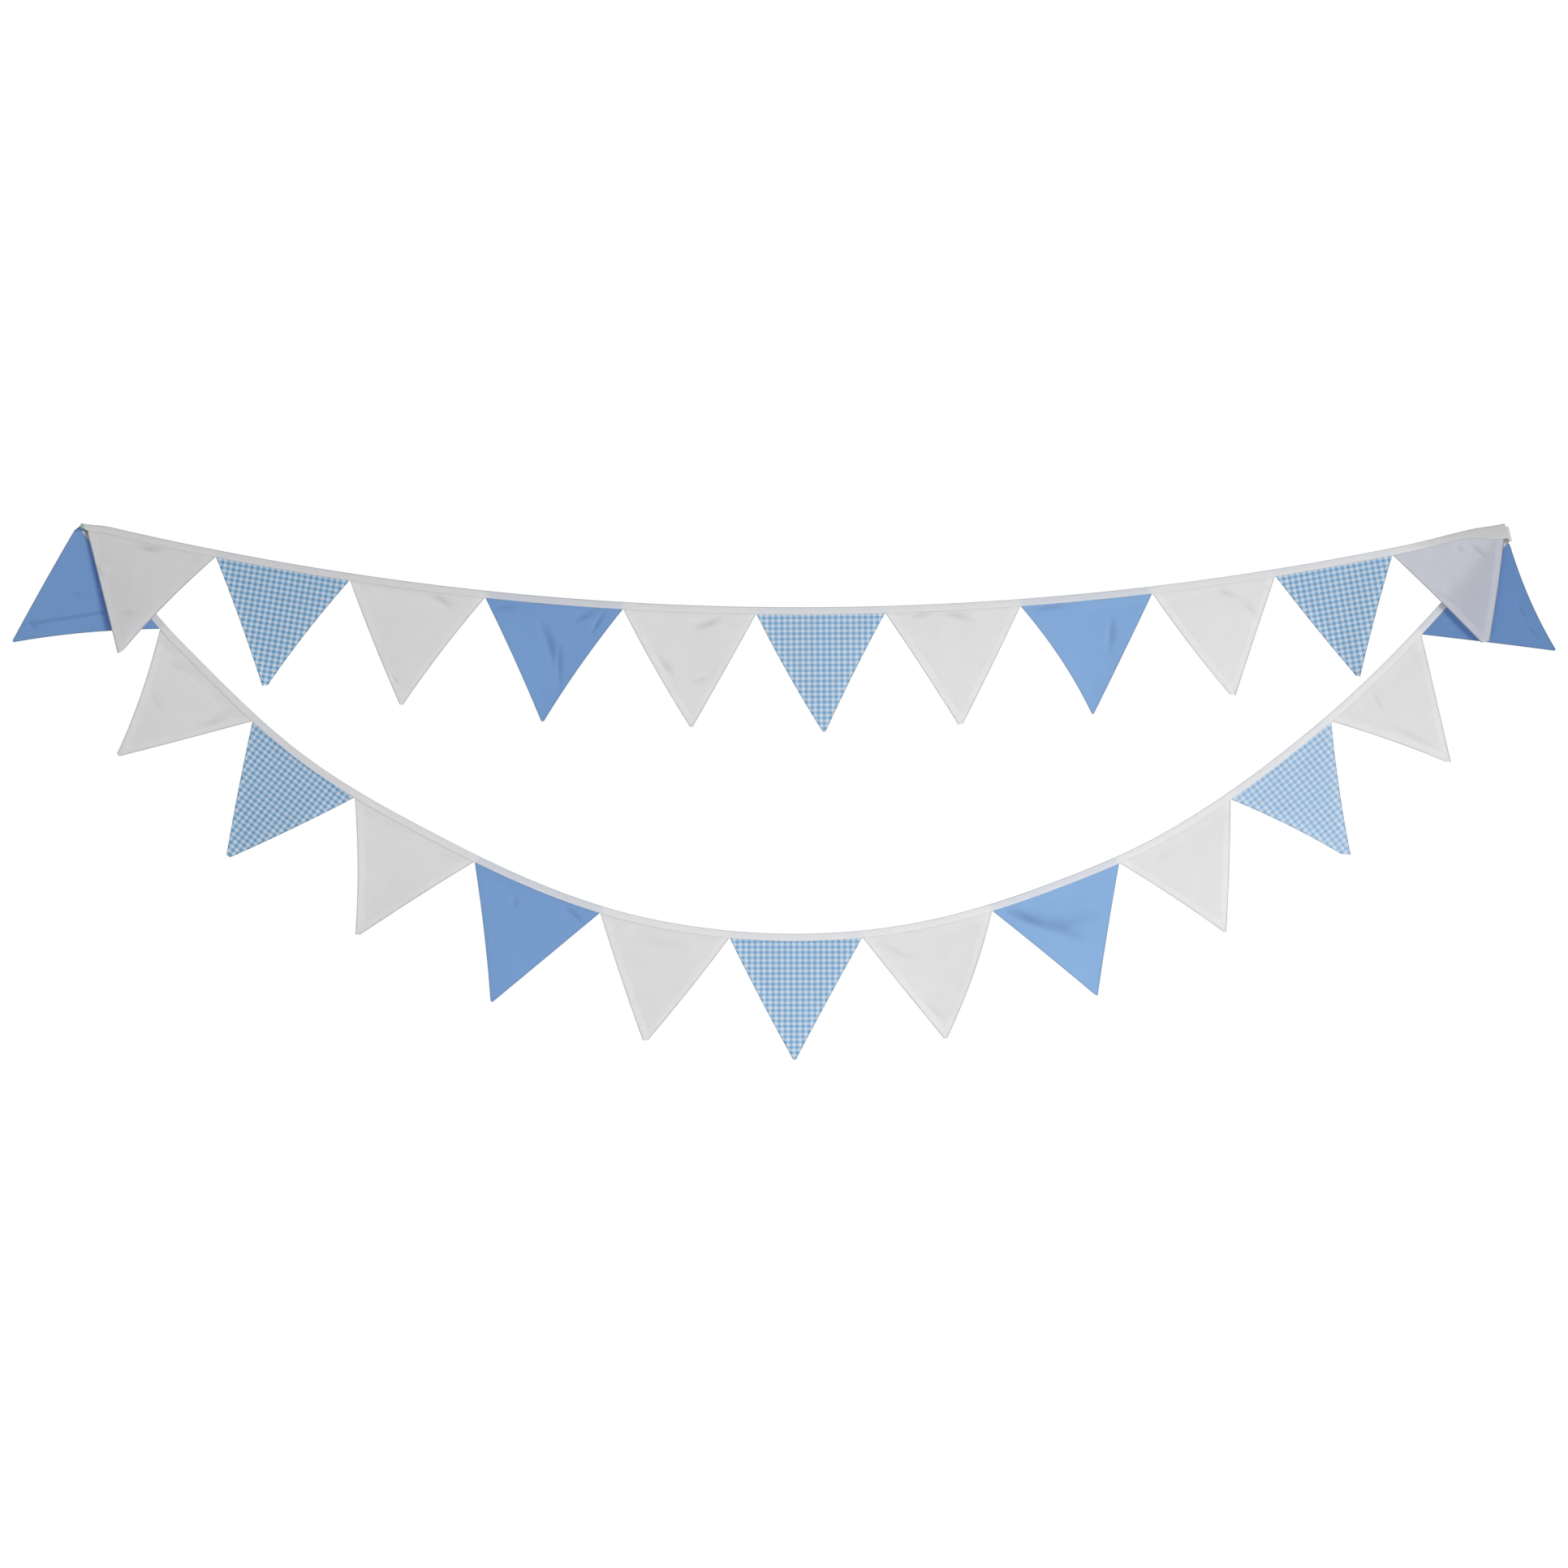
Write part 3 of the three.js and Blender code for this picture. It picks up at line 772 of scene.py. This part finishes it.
WHITE_THREAD = rgb(0.80, 0.80, 0.802)
# The colder grey that painted shade turns the most shaded white flag to.
SHADED_COLD_THREAD = rgb(0.78, 0.81, 0.885)
DEEP_BLUE_THREAD = rgb(0.225, 0.40, 0.56)
PALE_BLUE_THREAD = rgb(0.36, 0.58, 0.71)
CHECK_THREAD = rgb(0.105, 0.35, 0.61)
PALE_CHECK_THREAD = rgb(0.30, 0.52, 0.76)
CHECK_WHITE = rgb(0.73, 0.79, 0.84)
TAPE_THREAD = rgb(0.61, 0.61, 0.612)
TAPE_OVER_BLUE = rgb(0.53, 0.55, 0.59)
CHECK_ACROSS = 0.00916
CHECK_DOWN = 0.0081
WHITE_LETS_THROUGH = 0.42
BLUE_LETS_THROUGH = 0.45
CHECK_LETS_THROUGH = 0.4


def plain_weave(finish, x, y):
    """A plain weave of threads along x and y: which thread is on top, from 0 to 1, and how high it stands."""
    crossing = (x * (math.pi / THREAD)).sine() * (y * (math.pi / THREAD)).sine()
    on_top = (crossing * 1.6 + 0.5).held()
    return on_top, crossing.size()


def uneven_threads(finish, x, y):
    """Thicker and thinner threads, both ways."""
    warp = finish.speckle(x * 1900, y * 40)
    weft = finish.speckle(x * 40, y * 1900)
    return (warp + weft) * 0.5


def flag_cotton(name, warp_colour, weft_colour, through, let_through, stops):
    """Two layers of thin cotton with turned-in allowances along the long edges, with painted shade in the
    creases' troughs, along the very edge and over the flags that hang in less light. The colours are functions of
    the place on
    the flat cut. through: the colour of the light that it lets through, and let_through: how much. stops: the
    share that the allowances stop."""
    finish = Finish(name)
    x, y = finish.cut()
    on_top, knuckle = plain_weave(finish, x, y)
    threads = uneven_threads(finish, x, y)
    clouds = finish.speckle(x * 28, y * 28)
    edge = finish.spread("from_edge")
    wander = finish.speckle(x * 45, y * 45) - 0.5
    allowance = 1 - (edge + wander * 0.003).step(ALLOWANCE - 0.0018, ALLOWANCE + 0.0018)
    # Painted shade along the very edge, where the hem turns; it also lets less light through there.
    rim = 1 - (edge + wander * 0.0008).step(0.0005, 0.002)
    # Painted shade: along the very edge, in the creases' troughs, and over the flags that hang in less light.
    painted_darkness = rim * 0.42 + finish.spread("trough") * (clouds * 0.34) + finish.spread("painted_shade")
    colour = finish.mix_colours(weft_colour(finish, x, y), warp_colour(finish, x, y), on_top)
    tone = threads * 0.10 + clouds * 0.06 - painted_darkness + 0.92
    height = knuckle * 0.00006 + threads * 0.00005 + allowance * 0.0001
    rumples = finish.speckle(x * 120, y * 120, 3.0) * 0.00012
    cloth = finish.node(
        "ShaderNodeBsdfPrincipled",
        {},
        {
            "Base Color": finish.shade(colour, tone),
            "Roughness": 0.92,
            "Specular IOR Level": 0.25,
            "Sheen Weight": 0.12,
            "Sheen Roughness": 0.5,
            "Normal": finish.bump(height + rumples),
        },
    )
    light_through = finish.node("ShaderNodeBsdfTranslucent", {}, {"Color": through})
    thinner = 1 - finish.spread("denser")
    share = (1 - allowance * stops - rim * 0.3) * thinner * let_through
    return finish.close(finish.node("ShaderNodeMixShader", {}, {0: share, 1: cloth, 2: light_through}))


def white_thread(finish, x, y):
    """The white thread, turned colder by painted shade on the most shaded flag."""
    return finish.mix_colours(WHITE_THREAD, SHADED_COLD_THREAD, finish.spread("painted_shade").step(0.15, 0.27))


def blue_thread(finish, x, y):
    """Each blue flag's own shade."""
    return finish.mix_colours(DEEP_BLUE_THREAD, PALE_BLUE_THREAD, finish.spread("paler"))


def striped(along_x, pitch):
    """A thread colour that changes from white to blue and back over each pitch."""
    def stripes(finish, x, y):
        way = x if along_x else y
        band = ((way * (math.tau / pitch)).sine() * 2.6 + 0.5).held()
        thread = finish.mix_colours(CHECK_THREAD, PALE_CHECK_THREAD, finish.spread("paler"))
        return finish.mix_colours(CHECK_WHITE, thread, band)
    return stripes


def white_cotton():
    return flag_cotton("white cotton", white_thread, white_thread, WHITE_THREAD, WHITE_LETS_THROUGH, 0.25)


def blue_cotton():
    return flag_cotton("blue cotton", blue_thread, blue_thread, rgb(0.2, 0.4, 0.9), BLUE_LETS_THROUGH, 0.0)


def gingham_cotton():
    across, down = striped(True, CHECK_ACROSS), striped(False, CHECK_DOWN)
    return flag_cotton("gingham cotton", across, down, rgb(0.51, 0.65, 0.76), CHECK_LETS_THROUGH, 0.2)


def tape_cotton(length, turn):
    """Bias tape: its threads run slantwise, its edges are turned in, and painted shade darkens its fold. Its far
    end, which lies against the left pin, has painted shade. Painted shade greys it round its turn at the right
    pin and it is lighter after it, and the painted shade on its fold is darkest at the left. length: all of it.
    turn: how far along it turns."""
    finish = Finish("tape cotton")
    x, y = finish.cut()
    slant_x, slant_y = (x + y) * math.sqrt(0.5), (x - y) * math.sqrt(0.5)
    _, knuckle = plain_weave(finish, slant_x, slant_y)
    threads = uneven_threads(finish, slant_x, slant_y)
    clouds = finish.speckle(x * 30, y * 30)
    from_fold = y.size()
    # Painted shade along the tape's fold, darkest at the left.
    fold_line = 1 - from_fold.step(0.0004, 0.0026)
    across_wall = finish.node("ShaderNodeTexCoord", {}, {}, "Object")
    to_right = finish.node("ShaderNodeSeparateXYZ", {}, {"Vector": across_wall}, "X").step(-0.9, 0.9)
    painted_fold_shade = fold_line * (0.34 - to_right * 0.26)
    second_half = (x - turn).step(0, 0.4)
    turned_in = from_fold.step(0.0058, 0.0066)
    stitched = TAPE_WIDTH + TAPE_FOLD / 2 - STITCH_FROM_EDGE
    furrow = 1 - (from_fold - stitched).size().step(0, 0.0011)
    # Painted shade on the far end, where it lies by the left pin.
    painted_end_shade = (x - length).step(-0.024, -0.008) * (1 - from_fold.step(0.007, 0.009))
    tone = threads * 0.10 + clouds * 0.06 + turned_in * 0.02 - painted_fold_shade - painted_end_shade * 0.5
    # Painted shade round the turn at the right pin, and lighter after it.
    tone = tone - (1 - (x - turn).size().step(0.05, 0.22)) * 0.25 + second_half * 0.06 + 0.9
    colour = finish.mix_colours(TAPE_THREAD, TAPE_OVER_BLUE, finish.spread("blue_inside"))
    height = knuckle * 0.00006 + threads * 0.00005 + turned_in * 0.00009 - furrow * 0.0001
    cloth = finish.node(
        "ShaderNodeBsdfPrincipled",
        {},
        {
            "Base Color": finish.shade(colour, tone),
            "Roughness": 0.9,
            "Specular IOR Level": 0.25,
            "Sheen Weight": 0.12,
            "Sheen Roughness": 0.5,
            "Normal": finish.bump(height),
        },
    )
    return finish.close(cloth)


def thread_cotton():
    """The topstitches' thread, twisted."""
    finish = Finish("stitching thread")
    place = finish.node("ShaderNodeTexCoord", {}, {}, "Object")
    x, z = (finish.node("ShaderNodeSeparateXYZ", {}, {"Vector": place}, axis) for axis in ("X", "Z"))
    twist = ((x + z) * 9000).sine()
    thread = finish.node(
        "ShaderNodeBsdfPrincipled",
        {},
        {
            "Base Color": finish.shade(rgb(0.8, 0.8, 0.81), twist * 0.06 + 0.94),
            "Roughness": 0.7,
            "Sheen Weight": 0.1,
            "Normal": finish.bump(twist * 0.00002),
        },
    )
    return finish.close(thread)


def pin_plastic():
    """Pale green-grey glossy plastic, a little scuffed."""
    finish = Finish("pin head")
    place = finish.node("ShaderNodeTexCoord", {}, {}, "Object")
    scuffs = finish.node("ShaderNodeTexNoise", {}, {"Vector": place, "Scale": 900.0, "Detail": 4.0})
    plastic = finish.node(
        "ShaderNodeBsdfPrincipled",
        {},
        {
            "Base Color": finish.shade(rgb(0.30, 0.43, 0.39), scuffs * 0.12 + 0.92),
            "Roughness": scuffs * 0.16 + 0.4,
            "Coat Weight": 0.1,
            "Coat Roughness": 0.12,
            "Normal": finish.bump(scuffs * 0.00001),
        },
    )
    return finish.close(plastic)


def floor_paint():
    """Pale, and deeper where the key light is nearest, so that the floor looks evenly lit."""
    finish = Finish("floor")
    place = finish.node("ShaderNodeTexCoord", {}, {}, "Object")
    away = finish.node(
        "ShaderNodeVectorMath", {"operation": "DISTANCE"}, {0: place, 1: BRIGHT_SPOT}, output="Value"
    )
    paint = finish.node(
        "ShaderNodeBsdfPrincipled",
        {},
        {
            "Base Color": finish.shade(rgb(1, 1, 1), away.step(0, 9) * 0.52 + 0.34),
            "Roughness": 0.9,
        },
    )
    return finish.close(paint)


def make_camera():
    camera = bpy.data.cameras.new("camera")
    camera.type = "ORTHO"
    camera.ortho_scale = PHOTO_WIDTH
    camera_object = bpy.data.objects.new("camera", camera)
    camera_object.location = PHOTO_CENTRE + Vector((0, -CAMERA_AWAY, 0))
    camera_object.rotation_euler = (math.pi / 2, 0, 0)
    bpy.context.scene.collection.objects.link(camera_object)
    bpy.context.scene.camera = camera_object


def soft_light(name, place, towards, width, height, watts, colour):
    light = bpy.data.lights.new(name, "AREA")
    light.shape = "RECTANGLE"
    light.size = width
    light.size_y = height
    light.energy = watts
    light.color = colour
    light_object = bpy.data.objects.new(name, light)
    light_object.location = place
    light_object.rotation_euler = (Vector(towards) - Vector(place)).to_track_quat("-Z", "Y").to_euler()
    bpy.context.scene.collection.objects.link(light_object)


def make_studio():
    """A pale floor, soft lights in front, and a white surround that lights the cloth less than it shows."""
    floor_work = bmesh.new()
    bmesh.ops.create_grid(floor_work, x_segments=1, y_segments=1, size=15)
    bmesh.ops.translate(floor_work, verts=floor_work.verts, vec=(0, 0, FLOOR_LEVEL))
    floor_mesh = bpy.data.meshes.new("floor")
    floor_work.to_mesh(floor_mesh)
    floor_work.free()
    floor_mesh.materials.append(floor_paint())
    floor = bpy.data.objects.new("floor", floor_mesh)
    bpy.context.scene.collection.objects.link(floor)

    soft_light("key", (10.0, -9.0, 5.2), (0.0, 0, -0.4), 4.8, 4.8, 1640, (1.0, 0.99, 1.0))
    soft_light("fill", (0.55, -1.6, -0.95), (0.45, 0, -0.85), 1.2, 1.2, 10.0, (0.985, 0.985, 1.0))

    world = bpy.data.worlds.new("surround")
    bpy.context.scene.world = world
    world.use_nodes = True
    nodes, links = world.node_tree.nodes, world.node_tree.links
    nodes.clear()
    seen = nodes.new("ShaderNodeBackground")
    seen.inputs["Color"].default_value = rgb(1, 1, 1)
    seen.inputs["Strength"].default_value = 1.0
    way = nodes.new("ShaderNodeTexCoord")
    parts = nodes.new("ShaderNodeSeparateXYZ")
    links.new(way.outputs["Generated"], parts.inputs["Vector"])
    behind = nodes.new("ShaderNodeMapRange")
    for name, value in {"From Min": -0.3, "From Max": 0.3, "To Min": FRONT_GLOW, "To Max": BACK_GLOW}.items():
        behind.inputs[name].default_value = value
    links.new(parts.outputs["Y"], behind.inputs["Value"])
    lighting = nodes.new("ShaderNodeBackground")
    lighting.inputs["Color"].default_value = rgb(0.99, 0.99, 1.0)
    links.new(behind.outputs["Result"], lighting.inputs["Strength"])
    path = nodes.new("ShaderNodeLightPath")
    choose = nodes.new("ShaderNodeMixShader")
    links.new(path.outputs["Is Camera Ray"], choose.inputs[0])
    links.new(lighting.outputs[0], choose.inputs[1])
    links.new(seen.outputs[0], choose.inputs[2])
    out = nodes.new("ShaderNodeOutputWorld")
    links.new(choose.outputs[0], out.inputs["Surface"])
    bpy.context.scene.view_settings.view_transform = "Standard"


make_camera()
make_studio()
cloths = {"white": white_cotton(), "gingham": gingham_cotton(), "blue": blue_cotton()}
flag_pieces(UPPER, UPPER_FLAGS, cloths)
flag_pieces(LOWER, LOWER_FLAGS, cloths)

stations = tape_stations()
places = station_places(stations)
turn = places[max(range(len(stations)), key=lambda index: stations[index].point.x)]
tape = tape_piece(stations, places, tape_cotton(places[-1], turn))
stitching = stitch_piece(stations, places, thread_cotton())
tacks = [
    pin_piece("pin_left", LEFT_PIN, UPPER_DEPTHS.left + PIN_ABOVE_TAPE, pin_plastic()),
    pin_piece("pin_right", RIGHT_PIN, LOWER_DEPTHS.right + PIN_ABOVE_TAPE, pin_plastic()),
]
